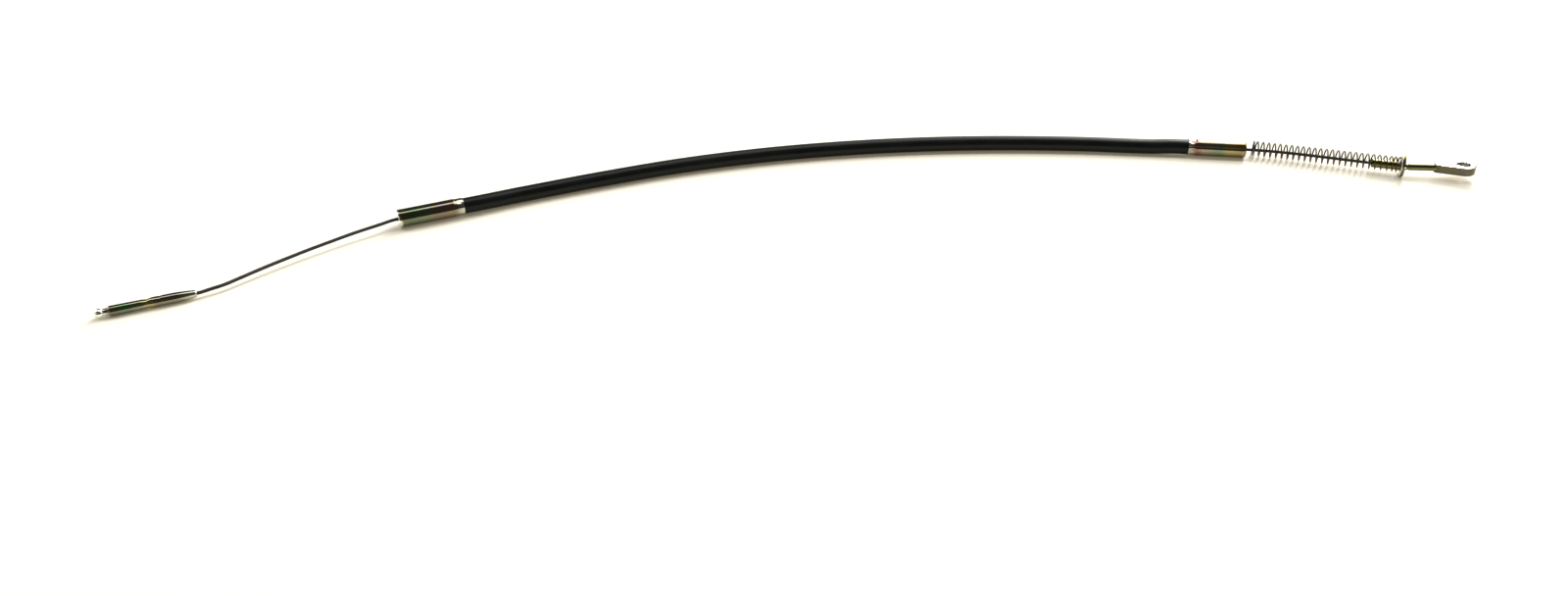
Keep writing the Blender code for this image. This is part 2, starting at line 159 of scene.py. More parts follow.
def sweptSurface(path, radius, angle):
    # point(i, j) = path(i) + radius(i, j) * (cos(angle) across(i) + sin(angle) upward(i))
    ahead, across, upward = levelFrames(path)
    angle = np.broadcast_to(angle, radius.shape)
    return (
        path[:, None]
        + (radius * np.cos(angle))[..., None] * across[:, None]
        + (radius * np.sin(angle))[..., None] * upward[:, None]
    )


def turnedSurface(place, axis, height, radius, angle):
    # point(i, j) = place + height(i) axis + radius(i, j) * (cos(angle) across + sin(angle) upward)
    across = unit(np.cross((0, 0, 1), axis))
    upward = np.cross(axis, across)
    height = np.broadcast_to(height, radius.shape)
    angle = np.broadcast_to(angle, radius.shape)
    return (
        np.asarray(place)
        + height[..., None] * axis
        + (radius * np.cos(angle))[..., None] * across
        + (radius * np.sin(angle))[..., None] * upward
    )


def gridShell(points, wrapRows, wrapColumns, along=None, around=None, tone=None):
    # the grid's points, the four corners of each cell, and where each corner lies in the UV map
    rows, columns = points.shape[:2]
    i = np.arange(rows if wrapRows else rows - 1)[:, None]
    j = np.arange(columns if wrapColumns else columns - 1)[None, :]
    corners = [(i, j), (i, j + 1), (i + 1, j + 1), (i + 1, j)]
    faces = np.stack([(r % rows) * columns + c % columns for r, c in corners], axis=-1)
    along = np.arange(rows + 1) / rows if along is None else along
    around = np.arange(columns + 1) / columns if around is None else around
    uv = np.stack([np.stack(np.broadcast_arrays(along[r], around[c]), axis=-1) for r, c in corners], axis=2)
    tone = np.zeros((rows, columns)) if tone is None else tone
    return points.reshape(-1, 3), faces.reshape(-1, 4), uv.reshape(-1, 2), tone.reshape(-1)


def makePiece(name, shells, sharpAngle=35.0):
    # one mesh from one or more closed shells, with doubles merged and its faces turned outwards
    starts = np.cumsum([0] + [len(shell[0]) for shell in shells])
    points = np.concatenate([shell[0] for shell in shells])
    faces = np.concatenate([shell[1] + start for shell, start in zip(shells, starts)])
    mesh = bpy.data.meshes.new(name)
    mesh.from_pydata(points.tolist(), [], faces.tolist())
    mesh.uv_layers.new(name="surface")
    mesh.uv_layers["surface"].data.foreach_set("uv", np.concatenate([s[2] for s in shells]).ravel())
    tone = mesh.attributes.new("tone", "FLOAT", "POINT")
    tone.data.foreach_set("value", np.concatenate([s[3] for s in shells]))
    work = bmesh.new()
    work.from_mesh(mesh)
    bmesh.ops.remove_doubles(work, verts=work.verts, dist=0.0000005)
    bmesh.ops.recalc_face_normals(work, faces=work.faces)
    work.to_mesh(mesh)
    work.free()
    mesh.shade_smooth()
    mesh.set_sharp_from_angle(angle=math.radians(sharpAngle))
    piece = bpy.data.objects.new(name, mesh)
    bpy.context.scene.collection.objects.link(piece)
    return piece


def circleAngles(count):
    return np.arange(count) * 2 * math.pi / count


def softened(height, radius, spread, step=0.00006):
    # a turned profile given by a few corners, sampled evenly and rounded over a short distance
    fine = np.arange(height[0], height[-1] + step / 2, step)
    width = max(1, int(spread / step))
    raw = np.interp(fine, height, radius)
    padded = np.pad(raw, width, mode="edge")
    kernel = np.hanning(2 * width + 3)[1:-1]
    return fine, np.convolve(padded, kernel / kernel.sum(), mode="valid")


def newMaterial(name):
    material = bpy.data.materials.new(name)
    material.use_nodes = True
    material.node_tree.nodes.clear()
    return material, material.node_tree


def addNode(tree, kind, settings=None, links=None):
    # one node with its settings and links; whole numbers and input names set its inputs
    node = tree.nodes.new(kind)
    for name, value in (settings or {}).items():
        if isinstance(name, int) or name in node.inputs:
            node.inputs[name].default_value = value
        else:
            setattr(node, name, value)
    for name, socket in (links or {}).items():
        tree.links.new(socket, node.inputs[name])
    return node


jacketFinish = {
    "dark": "#0b0e0d",
    "light": "#141816",
    "shine": 0.16,  # specular level: low, because the skin is dull with dust and oil
    "roughness": (0.28, 0.4),
    "flowWidth": 0.0007,  # width of the lines that the extruder's die leaves along the skin
    "grain": 0.00035,  # size of the fine orange peel
    "smear": 0.012,  # size of the patches where handling has dulled it
    "depth": 0.00001,
}


def extrudedPvcMaterial(look):
    # Black PVC skin, extruded over the conduit: dark with a soft grey sheen, fine lines that run
    # along it from the die, and a little orange peel that breaks up its highlight
    material, tree = newMaterial("extruded black PVC")
    place = addNode(tree, "ShaderNodeUVMap", {"uv_map": "surface"}).outputs["UV"]
    stretched = addNode(tree, "ShaderNodeMapping", {"Scale": (0.03, 1.0, 1.0)}, {"Vector": place})
    flow = addNode(
        tree, "ShaderNodeTexNoise",
        {"noise_dimensions": "2D", "Scale": 1 / look["flowWidth"], "Detail": 3.0, "Roughness": 0.6},
        {"Vector": stretched.outputs["Vector"]},
    )
    where = addNode(tree, "ShaderNodeTexCoord").outputs["Object"]
    peel = addNode(tree, "ShaderNodeTexNoise", {"Scale": 1 / look["grain"], "Detail": 2.0}, {"Vector": where})
    smear = addNode(
        tree, "ShaderNodeTexNoise", {"Scale": 1 / look["smear"], "Detail": 5.0}, {"Vector": where}
    )
    tint = addNode(
        tree, "ShaderNodeMix",
        {"data_type": "RGBA", 6: linearColour(look["dark"]), 7: linearColour(look["light"])},
        {0: smear.outputs["Fac"]},
    )
    rough = addNode(
        tree, "ShaderNodeMapRange",
        {"From Min": 0.3, "From Max": 0.7, "To Min": look["roughness"][0], "To Max": look["roughness"][1]},
        {"Value": smear.outputs["Fac"]},
    )
    height = addNode(
        tree, "ShaderNodeMath", {"operation": "ADD"}, {0: flow.outputs["Fac"], 1: peel.outputs["Fac"]}
    )
    bump = addNode(
        tree, "ShaderNodeBump", {"Strength": 0.5, "Distance": look["depth"]},
        {"Height": height.outputs["Value"]},
    )
    shader = addNode(
        tree, "ShaderNodeBsdfPrincipled", {"Specular IOR Level": look["shine"]},
        {
            "Base Color": tint.outputs[2],
            "Roughness": rough.outputs["Result"],
            "Normal": bump.outputs["Normal"],
        },
    )
    addNode(tree, "ShaderNodeOutputMaterial", links={"Surface": shader.outputs["BSDF"]})
    return material


# The colours along each piece: (share of its length, hex code); mostly its passivation film, with painted
# light at some ends
ferruleFilm = [
    (0.0, "#b9bcae"), (0.13, "#7d5648"), (0.26, "#857a60"), (0.42, "#76765a"), (0.56, "#627a54"),
    (0.68, "#8c7f50"), (1.0, "#7a6c3c"),
]
# painted highlight: the last, near-white stop paints the mouth's rounded end face white
leftFilmAndHighlight = [
    (0.0, "#b4b7a6"), (0.16, "#76664e"), (0.4, "#6c5f4c"), (0.6, "#5c6848"), (0.82, "#4f6144"),
    (0.94, "#665e3c"), (1.0, "#f4f5f0"),
]
# painted highlight: the near-white stop from 0.93 paints the neck's end and the ball white
plugFilmAndHighlight = [
    (0.0, "#b6b7a8"), (0.2, "#74725c"), (0.38, "#736b56"), (0.49, "#9a925c"), (0.55, "#7c7a66"),
    (0.7, "#50744a"), (0.84, "#665a46"), (0.93, "#f2f6ee"),
]
eyeFilm = [
    (0.0, "#66643c"), (0.3, "#68624a"), (0.4, "#6d6c42"), (0.58, "#6a7046"), (0.66, "#b8b49c"),
    (0.85, "#b9b2b4"), (1.0, "#b0b39a"),
]
# painted reflection: the pale first stops paint the face towards the spring light grey
washerFilmAndReflection = [(0.0, "#d8d3d5"), (0.12, "#d8d3d5"), (0.3, "#66673c"), (1.0, "#606240")]
springFilm = [
    (0.0, "#3b4350"), (0.06, "#44462f"), (0.45, "#463f28"), (0.75, "#484324"), (0.88, "#4a5018"),
    (1.0, "#565022"),
]
zincFinish = {
    "wander": 0.16,  # how far the film's colours stray along the piece
    "patch": 0.004,  # size of the patches of colour in the film
    "lilac": "#6f6272",
    "mottle": 0.6,  # how much of the lilac shows in the patches
    "seal": 0.6,  # how much clear sealer lies over the film
    "streak": 0.00025,  # width of the drawing lines along the piece
    "roughness": (0.07, 0.18),
    "depth": 0.000005,
}
# on the spring the lilac colour also paints a reflection on the lower half of each coil
wireFinish = dict(zincFinish, roughness=(0.22, 0.34), lilac="#5e463f", seal=0.0)
washerFinish = dict(zincFinish, roughness=(0.25, 0.4), wander=0.04, seal=0.0)
# on the eye the dark olive lilac colour is also painted shade on the outer wall
eyeFinish = dict(zincFinish, lilac="#423e2a", mottle=0.12, seal=0.0)


def passivatedZincMaterial(name, look, filmAndPaintedLight, start, axis, length):
    # Steel, bright zinc plated, yellow passivated and sealed: a mirror-like metal whose thin film
    # drifts along the piece between olive, gold, green and brown, with lilac patches in it, faint
    # lines from drawing that lengthen its highlights, and a clear sealer that whitens them
    material, tree = newMaterial(name)
    where = addNode(tree, "ShaderNodeTexCoord").outputs["Object"]
    heading = math.atan2(axis[1], axis[0])
    turned = addNode(
        tree, "ShaderNodeMapping",
        {"vector_type": "TEXTURE", "Location": tuple(start), "Rotation": (0.0, 0.0, heading)},
        {"Vector": where},
    ).outputs["Vector"]
    drift = addNode(
        tree, "ShaderNodeTexNoise",
        {"Scale": 1 / look["patch"], "Detail": 3.0, "Roughness": 0.55, "Distortion": 0.6}, {"Vector": turned},
    ).outputs["Fac"]
    ahead = addNode(tree, "ShaderNodeSeparateXYZ", links={"Vector": turned}).outputs["X"]
    share = addNode(
        tree, "ShaderNodeMath",
        {"operation": "MULTIPLY_ADD", 1: 1 / length, 2: -look["wander"] / 2}, {0: ahead},
    ).outputs["Value"]
    strayed = addNode(
        tree, "ShaderNodeMath", {"operation": "MULTIPLY_ADD", 1: look["wander"]}, {0: drift, 2: share}
    )
    # the ramp's stops are the film's colours, and at some ends painted highlights and a painted reflection
    colours = addNode(tree, "ShaderNodeValToRGB", links={"Fac": strayed.outputs["Value"]})
    colours.color_ramp.interpolation = "EASE"
    stops = colours.color_ramp.elements
    while len(stops) < len(filmAndPaintedLight):
        stops.new(0.5)
    for stop, (position, code) in zip(stops, filmAndPaintedLight):
        stop.position = position
        stop.color = linearColour(code)
    # painted light: the mesh's tone mixes in the lilac colour, a painted reflection on the spring coils'
    # lower halves and painted shade on the eye's outer wall
    paintedLightTone = addNode(tree, "ShaderNodeAttribute", {"attribute_name": "tone"}).outputs["Fac"]
    patches = addNode(
        tree, "ShaderNodeMapRange", {"From Min": 0.56, "From Max": 0.68, "To Max": look["mottle"]},
        {"Value": drift},
    ).outputs["Result"]
    lilacPatchesAndPaintedLight = addNode(
        tree, "ShaderNodeMath", {"operation": "MAXIMUM"}, {0: paintedLightTone, 1: patches}
    ).outputs["Value"]
    tint = addNode(
        tree, "ShaderNodeMix", {"data_type": "RGBA", 7: linearColour(look["lilac"])},
        {0: lilacPatchesAndPaintedLight, 6: colours.outputs["Color"]},
    )
    drawn = addNode(
        tree, "ShaderNodeMapping", {"Scale": (0.02, 1.0, 1.0)}, {"Vector": turned}
    ).outputs["Vector"]
    streaks = addNode(
        tree, "ShaderNodeTexNoise", {"Scale": 1 / look["streak"], "Detail": 2.0}, {"Vector": drawn}
    ).outputs["Fac"]
    rough = addNode(
        tree, "ShaderNodeMapRange",
        {"From Min": 0.3, "From Max": 0.7, "To Min": look["roughness"][0], "To Max": look["roughness"][1]},
        {"Value": streaks},
    )
    bump = addNode(
        tree, "ShaderNodeBump", {"Strength": 0.35, "Distance": look["depth"]}, {"Height": streaks}
    )
    shader = addNode(
        tree, "ShaderNodeBsdfPrincipled", {"Metallic": 1.0, "Coat Weight": look["seal"], "Coat IOR": 1.6},
        {
            "Base Color": tint.outputs[2],
            "Roughness": rough.outputs["Result"],
            "Normal": bump.outputs["Normal"],
        },
    )
    addNode(tree, "ShaderNodeOutputMaterial", links={"Surface": shader.outputs["BSDF"]})
    return material


ropeFinish = {"bright": "#3c3b38", "dark": "#1b1a18", "metallic": 0.4, "roughness": 0.55, "grime": 0.0016}


def drawnWireMaterial(look):
    # Galvanised wire rope, drawn and stranded: dull grey ridges with painted shade in the gaps between
    # the wires, and patches of grime, so that it reads as a dark thread from a distance
    material, tree = newMaterial("stranded galvanised wire")
    depth = addNode(tree, "ShaderNodeAttribute", {"attribute_name": "tone"}).outputs["Fac"]
    where = addNode(tree, "ShaderNodeTexCoord").outputs["Object"]
    grime = addNode(
        tree, "ShaderNodeTexNoise", {"Scale": 1 / look["grime"], "Detail": 4.0}, {"Vector": where}
    )
    worn = addNode(
        tree, "ShaderNodeMapRange",
        {"From Min": 0.25, "From Max": 0.75, "To Min": 0.35, "To Max": 0.0},
        {"Value": grime.outputs["Fac"]},
    )
    grooveShadeAndGrime = addNode(
        tree, "ShaderNodeMath", {"operation": "ADD", "use_clamp": True}, {0: depth, 1: worn.outputs["Result"]}
    )
    tint = addNode(
        tree, "ShaderNodeMix",
        {"data_type": "RGBA", 6: linearColour(look["bright"]), 7: linearColour(look["dark"])},
        {0: grooveShadeAndGrime.outputs["Value"]},
    )
    shader = addNode(
        tree, "ShaderNodeBsdfPrincipled", {"Metallic": look["metallic"], "Roughness": look["roughness"]},
        {"Base Color": tint.outputs[2]},
    )
    addNode(tree, "ShaderNodeOutputMaterial", links={"Surface": shader.outputs["BSDF"]})
    return material


def hiddenMaterial(name, bright, dark, metallic, roughness, grain):
    # Pieces inside the casing: rolled steel tape or natural acetal, with a faint mottle
    material, tree = newMaterial(name)
    where = addNode(tree, "ShaderNodeTexCoord").outputs["Object"]
    mottle = addNode(tree, "ShaderNodeTexNoise", {"Scale": 1 / grain, "Detail": 3.0}, {"Vector": where})
    tint = addNode(
        tree, "ShaderNodeMix", {"data_type": "RGBA", 6: linearColour(bright), 7: linearColour(dark)},
        {0: mottle.outputs["Fac"]},
    )
    shader = addNode(
        tree, "ShaderNodeBsdfPrincipled", {"Metallic": metallic, "Roughness": roughness},
        {"Base Color": tint.outputs[2]},
    )
    addNode(tree, "ShaderNodeOutputMaterial", links={"Surface": shader.outputs["BSDF"]})
    return material


def dress(piece, material, body, slot, *nodes):
    piece.data.materials.clear()
    piece.data.materials.append(material)
    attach(piece, body)
    if nodes:
        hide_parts(*nodes)
    return piece


blackPvc = extrudedPvcMaterial(jacketFinish)
ropeWire = drawnWireMaterial(ropeFinish)
steelTape = hiddenMaterial("rolled steel tape", "#8f8f8c", "#6c6b67", 1.0, 0.4, 0.002)
acetal = hiddenMaterial("natural acetal", "#e6e3d6", "#d8d4c4", 0.0, 0.45, 0.004)
print("materials are made")


casingShape = {
    "points": [
        (-0.1193, 0.0184), (-0.0910, 0.0308), (-0.0614, 0.0422), (-0.0306, 0.0511), (0.0009, 0.0573),
        (0.0329, 0.0611), (0.0649, 0.0625), (0.0966, 0.0618), (0.1260, 0.0595),
    ],
    "height": 0.0030848,
    "radius": 0.002975,
    "bore": 0.0023,
    "leftStraight": 0.0282,
    "rightStraight": 0.0267,
    "startInside": 0.0015,
    "sides": 64,
    "step": 0.0011,
    "ripple": 0.000012,  # how far the skin follows the wound conduit under it
    "ripplePitch": 0.0022,
}


def makeCasing(shape):
    # A tube carried along the route: outer radius R + ripple sin(2 pi s / pitch), then back inside
    # along the bore, so that both ends are closed by a ring
    start = leftMouth + leftAxis * shape["startInside"]
    bendStart = leftMouth + leftAxis * shape["leftStraight"]
    bendEnd = rightMouth - rightAxis * shape["rightStraight"]
    end = rightMouth - rightAxis * shape["startInside"]
    knots = [bendStart] + [(x, y, shape["height"]) for x, y in shape["points"]] + [bendEnd]
    bend = smoothRoute(knots, leftAxis, rightAxis, shape["step"])
    path = evenly(np.concatenate([[start], bend, [end]]), shape["step"])
    angle = circleAngles(shape["sides"])[None, :]
    along = lengthAlong(path)
    wave = shape["ripple"] * np.sin(2 * math.pi * along / shape["ripplePitch"])[:, None]
    outer = sweptSurface(path, shape["radius"] + wave + 0 * angle, angle)
    inner = sweptSurface(path[::-1], shape["bore"] + 0 * wave + 0 * angle, math.pi - angle)
    places = np.concatenate([along, along[::-1], along[:1]])
    shell = gridShell(
        np.concatenate([outer, inner]), True, True, places,
        np.linspace(0.0, 2 * math.pi * shape["radius"], shape["sides"] + 1),
    )
    casing = dress(makePiece("casingSkin", [shell]), blackPvc, "casing", "black_plastic", "outer_jacket")
    return casing, path


ropeShape = {
    "points": [
        (-0.1688, -0.0066), (-0.1759, -0.0120), (-0.1827, -0.0179), (-0.1894, -0.0239), (-0.1958, -0.0301),
        (-0.2021, -0.0365), (-0.2074, -0.0422), (-0.2112, -0.0461), (-0.2148, -0.0486),
    ],
    "radius": 0.00062,
    "overlap": 1.04,  # how far the wires press into each other
    "grooveShade": 1.2,  # how dark the painted shade is between the wires
    "wires": 12,  # wires in the outer layer
    "lay": 0.011,  # length of one turn of a wire round the rope
    "sides": 72,
    "step": 0.00036,
    "insideFerrule": 0.022,
    "insidePlug": 0.0097,
    "insideRight": 0.002,
}


def strandedSurface(path, shape):
    # Round wires laid side by side: at an angle d from a wire's middle the surface lies at
    # c cos(d) + sqrt(w^2 - c^2 sin^2(d)), and the wires turn once in each lay length
    chord = math.sin(math.pi / shape["wires"])
    wire = shape["radius"] * chord / (1 + chord) * shape["overlap"]
    centre = shape["radius"] - wire
    along = lengthAlong(path)
    angle = circleAngles(shape["sides"])[None, :]
    turned = angle - 2 * math.pi * along[:, None] / shape["lay"]
    share = 2 * math.pi / shape["wires"]
    off = (turned + share / 2) % share - share / 2
    root = np.sqrt(np.maximum(wire**2 - (centre * np.sin(off)) ** 2, 0.0))
    radius = centre * np.cos(off) + root
    # painted shade: the deeper the surface lies between two wires, the darker its tone
    tone = (shape["radius"] - radius) / wire * shape["grooveShade"]
    # both ends close on a point at the middle
    radius = np.concatenate([0 * radius[:1], radius, 0 * radius[:1]])
    tone = np.concatenate([tone[:1], tone, tone[-1:]])
    path = np.concatenate([path[:1], path, path[-1:]])
    ahead, across, upward = levelFrames(path[1:-1])
    across = np.concatenate([across[:1], across, across[-1:]])
    upward = np.concatenate([upward[:1], upward, upward[-1:]])
    points = (
        path[:, None]
        + (radius * np.cos(angle))[..., None] * across[:, None]
        + (radius * np.sin(angle))[..., None] * upward[:, None]
    )
    return gridShell(points, False, True, tone=np.clip(tone, 0.0, 1.0))


def makeLeftRope(shape):
    inner = leftMouth + leftAxis * shape["insideFerrule"]
    end = plugFace - plugAxis * shape["insidePlug"]
    heights = np.linspace(leftMouth[2], plugFace[2], len(shape["points"]) + 2)[1:-1]
    knots = [leftMouth] + [(x, y, z) for (x, y), z in zip(shape["points"], heights)] + [plugFace]
    bend = smoothRoute(knots, -leftAxis, -plugAxis, 0.001)
    path = evenly(np.concatenate([[inner], bend, [end]]), shape["step"])
    rope = makePiece("bareRope", [strandedSurface(path, shape)], 60.0)
    dress(rope, ropeWire, "left_end", "rope_steel", "left_cable")
    return rope, inner, path


casingSkin, casingPath = makeCasing(casingShape)
bareRope, ropeStart, ropePath = makeLeftRope(ropeShape)
print("cords are made")


ferruleShape = {
    "leftLength": 0.0242,
    "rightLength": 0.0227,
    "radius": 0.003425,
    "bore": 0.003135,
    "mouth": 0.001025,
    "endWall": 0.0012,
    "edge": 0.0006,
    "crimpLength": 0.003,
    "crimpDepth": 0.00012,
    "dentDepth": 0.00014,
    "dents": 6,
    "dentPower": 0.8,  # under 1 the dents are wider at their bottom
    "lip": 0.00005,  # how far the cup's rim is drawn in
    "boreSqueeze": 0.00006,  # how far the crimp narrows the bore
    "innerTaper": 0.002,  # length over which the bore ends before the end wall
    "sides": 96,
}
leftZinc = passivatedZincMaterial(
    "yellow passivated zinc, left ferrule", zincFinish, leftFilmAndHighlight,
    leftMouth + leftAxis * ferruleShape["leftLength"], -leftAxis, ferruleShape["leftLength"],
)
rightZinc = passivatedZincMaterial(
    "yellow passivated zinc, right ferrule", zincFinish, ferruleFilm,
    rightMouth - rightAxis * ferruleShape["rightLength"], rightAxis, ferruleShape["rightLength"],
)


def makeFerrule(name, mouth, axis, length, material, node, shape):
    # A drawn cup turned about the rope's line: the radius is the barrel's, less the crimp, less
    # dents of depth sin(pi s) max(0, cos(n angle))^p over it, and the bore comes back inside
    angle = circleAngles(shape["sides"])[None, :]
    bend = np.linspace(math.pi / 2, 0.0, 10)
    edge = shape["edge"]
    crimpEnd = shape["crimpLength"] - length
    heightOut = np.concatenate([
        [0.0], np.zeros(3), edge * np.sin(bend) - edge,
        np.linspace(-edge, crimpEnd + 0.0008, 24)[1:], np.linspace(crimpEnd + 0.0006, -length, 30),
    ])
    flatRadius = shape["radius"] - edge
    barrelRows = 23 + 30
    radiusOut = np.concatenate([
        [shape["mouth"]], np.linspace(shape["mouth"], flatRadius, 5)[1:-1], flatRadius + edge * np.cos(bend),
        np.full(barrelRows, shape["radius"]),
    ])
    share = (heightOut + length) / shape["crimpLength"]
    crimp = shape["crimpDepth"] * smoothStep((1.2 - share) / 0.25)
    lip = shape["lip"] * smoothStep((0.08 - share) / 0.08)
    dent = shape["dentDepth"] * np.sin(math.pi * np.clip(share, 0.0, 1.0))
    dents = dent[:, None] * np.maximum(0.0, np.cos(shape["dents"] * angle)) ** shape["dentPower"]
    outside = (radiusOut - crimp - lip)[:, None] - dents
    bore = shape["bore"] - shape["boreSqueeze"]
    wall = -shape["endWall"]
    heightIn = np.array([-length, crimpEnd, wall - shape["innerTaper"], wall, wall])
    radiusIn = np.array([bore, bore, shape["bore"], shape["bore"], shape["mouth"]])
    height = np.concatenate([heightOut, heightIn])
    radius = np.concatenate([outside, radiusIn[:, None] + 0 * angle])
    shell = gridShell(turnedSurface(mouth, axis, height[:, None], radius, angle), True, True)
    return dress(makePiece(name, [shell], 40.0), material, "casing", "plated_steel", node)


makeFerrule(
    "leftFerruleCup", leftMouth, -leftAxis, ferruleShape["leftLength"], leftZinc, "left_ferrule", ferruleShape
)
rightFerrule = makeFerrule(
    "rightFerruleCup", rightMouth, rightAxis, ferruleShape["rightLength"], rightZinc, "right_ferrule",
    ferruleShape,
)
print("ferrules are made")


plugShape = {
    "mouthRadius": 0.0012,
    "mouthEdge": 0.0002,
    "swage": 0.0083,  # length over which the sleeve swells from its mouth
    "sleeveRadius": 0.00184,
    # the profile after the swage: distance from the mouth and radius at each corner
    "heights": (
        0.0105, 0.0113, 0.0121, 0.0139, 0.0155, 0.0171, 0.0222, 0.0271, 0.0273, 0.0275, 0.0294, 0.0302,
    ),
    "radii": (
        0.00184, 0.00172, 0.00184, 0.00184, 0.0015, 0.00173, 0.00179, 0.00185, 0.00165, 0.0013, 0.0013,
        0.0013,
    ),
    "soften": 0.00022,
    "headMiddle": 0.0303349,
    "headRadius": 0.00163,
    "filmLength": 0.032,
    "sides": 96,
}
plugZinc = passivatedZincMaterial(
    "yellow passivated zinc, plug", zincFinish, plugFilmAndHighlight, plugFace, -plugAxis, plugShape["filmLength"]
)


def makePlug(shape):
    # A crimped sleeve, waist, bar and neck turned in one, joined to a ball. The sleeve swells by
    # r = r0 + (r1 - r0) sin(pi h / 2 L), and the head is sqrt(R^2 - (h - c)^2)
    swell = np.linspace(0.0, 1.0, 24)
    swelling = shape["sleeveRadius"] - shape["mouthRadius"]
    mouth = shape["mouthRadius"] + swelling * np.sin(math.pi / 2 * swell)
    mouth[0] -= shape["mouthEdge"]
    heights = np.concatenate([swell * shape["swage"], shape["heights"]])
    fine, rod = softened(heights, np.concatenate([mouth, shape["radii"]]), shape["soften"])
    turn = np.linspace(math.radians(-48.0), math.pi / 2, 40)
    ballHeight = shape["headMiddle"] + shape["headRadius"] * np.sin(turn)
    ballRadius = shape["headRadius"] * np.cos(turn)
    keep = fine < ballHeight[0] - 0.00004
    height = np.concatenate([[0.0], fine[keep], ballHeight])
    radius = np.concatenate([[0.0], rod[keep], ballRadius])
    radius[-1] = 0.0
    angle = circleAngles(shape["sides"])[None, :]
    points = turnedSurface(plugFace, -plugAxis, height[:, None], radius[:, None] + 0 * angle, angle)
    plug = makePiece("plugEnd", [gridShell(points, False, True)], 50.0)
    return dress(plug, plugZinc, "left_end", "plated_steel", "left_terminal")


plugEnd = makePlug(plugShape)
print("plug is made")


springShape = {
    "wire": 0.0006,
    "diameter": 0.0062,
    "length": 0.0557,
    "activeTurns": 23.5,
    "leftClosed": 1.0,
    "closedGap": 0.00007,
    "rightTurns": 2.0,
    "rightPitch": 0.0015,
    "startAngle": -90.0,
    "pointsATurn": 36,
    "sides": 18,
    "lowerHalfReflection": 0.8,  # how strongly the lower half of each coil takes the lilac colour, a painted reflection
}
springZinc = passivatedZincMaterial(
    "yellow passivated spring wire", wireFinish, springFilm, springStart, springAxis, springShape["length"]
)


def makeSpring(shape):
    # A helix whose height grows by the wire and a small gap at the left end, evenly in the middle
    # and more slowly at the right: point = axis h(t) + R (cos t, sin t), with a round wire on it
    leftTop = shape["leftClosed"] * (shape["wire"] + shape["closedGap"])
    total = shape["leftClosed"] + shape["activeTurns"] + shape["rightTurns"]
    turns = np.linspace(0.0, total, round(total * shape["pointsATurn"]) + 1)
    top = shape["length"] - shape["wire"]
    height = np.interp(
        turns,
        [0.0, shape["leftClosed"], total - shape["rightTurns"], total],
        [0.0, leftTop, top - shape["rightTurns"] * shape["rightPitch"], top],
    )
    kernel = np.hanning(21)[1:-1]
    padded = np.pad(height, 9, mode="reflect", reflect_type="odd")
    height = np.convolve(padded, kernel / kernel.sum(), mode="valid")
    radius = (shape["diameter"] - shape["wire"]) / 2
    place = springStart + springAxis * shape["wire"] / 2
    across = unit(np.cross((0, 0, 1), springAxis))
    upward = np.cross(springAxis, across)
    angle = 2 * math.pi * turns[:, None] + math.radians(shape["startAngle"])
    outward = np.cos(angle) * across + np.sin(angle) * upward
    path = place + height[:, None] * springAxis + radius * outward
    ahead = unit(np.gradient(path, axis=0))
    beside = np.cross(ahead, outward)
    size = np.full(len(path) + 2, shape["wire"] / 2)
    size[[0, -1]] = 0.0
    ends = np.concatenate([[0], np.arange(len(path)), [len(path) - 1]])
    around = circleAngles(shape["sides"])[None, :, None]
    points = path[ends][:, None] + size[:, None, None] * (
        np.cos(around) * outward[ends][:, None] + np.sin(around) * beside[ends][:, None]
    )
    # painted reflection: the lower half of each coil is tinted towards the lilac colour
    low = np.broadcast_to(smoothStep(0.35 - 0.8 * np.sin(angle[ends])), points.shape[:2])
    shell = gridShell(points, False, True, tone=shape["lowerHalfReflection"] * low)
    spring = makePiece("returnSpringWire", [shell], 60.0)
    dress(spring, springZinc, "casing", "spring_steel", "return_spring")
    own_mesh(spring)


washerShape = {
    "radius": 0.0046,
    "bore": 0.0024,
    "thickness": 0.0014,
    "edge": 0.0002,
    "endGap": 0.0001,
    "sides": 96,
}
washerStart = springStart + springAxis * (springShape["length"] + washerShape["endGap"])
washerZinc = passivatedZincMaterial(
    "yellow passivated zinc, washer", washerFinish, washerFilmAndReflection, washerStart, springAxis,
    washerShape["thickness"],
)


def makeWasher(shape):
    # A ring turned from a rectangle with rounded outer corners
    half, edge = shape["thickness"] / 2, shape["edge"]
    bend = np.linspace(0.0, math.pi / 2, 6)
    bore, flat = [shape["bore"]], shape["radius"] - edge
    height = np.concatenate([
        [half], half - edge + edge * np.sin(bend[::-1]), edge - half - edge * np.sin(bend), [-half],
    ])
    radius = np.concatenate([bore, flat + edge * np.cos(bend[::-1]), flat + edge * np.cos(bend), bore])
    middle = washerStart + springAxis * half
    angle = circleAngles(shape["sides"])[None, :]
    points = turnedSurface(middle, springAxis, height[:, None], radius[:, None] + 0 * angle, angle)
    washer = makePiece("washerDisc", [gridShell(points, True, True)], 40.0)
    dress(washer, washerZinc, "right_end", "plated_steel", "spring_washer")
    return middle


makeSpring(springShape)
washerMiddle = makeWasher(washerShape)
print("spring and washer are made")


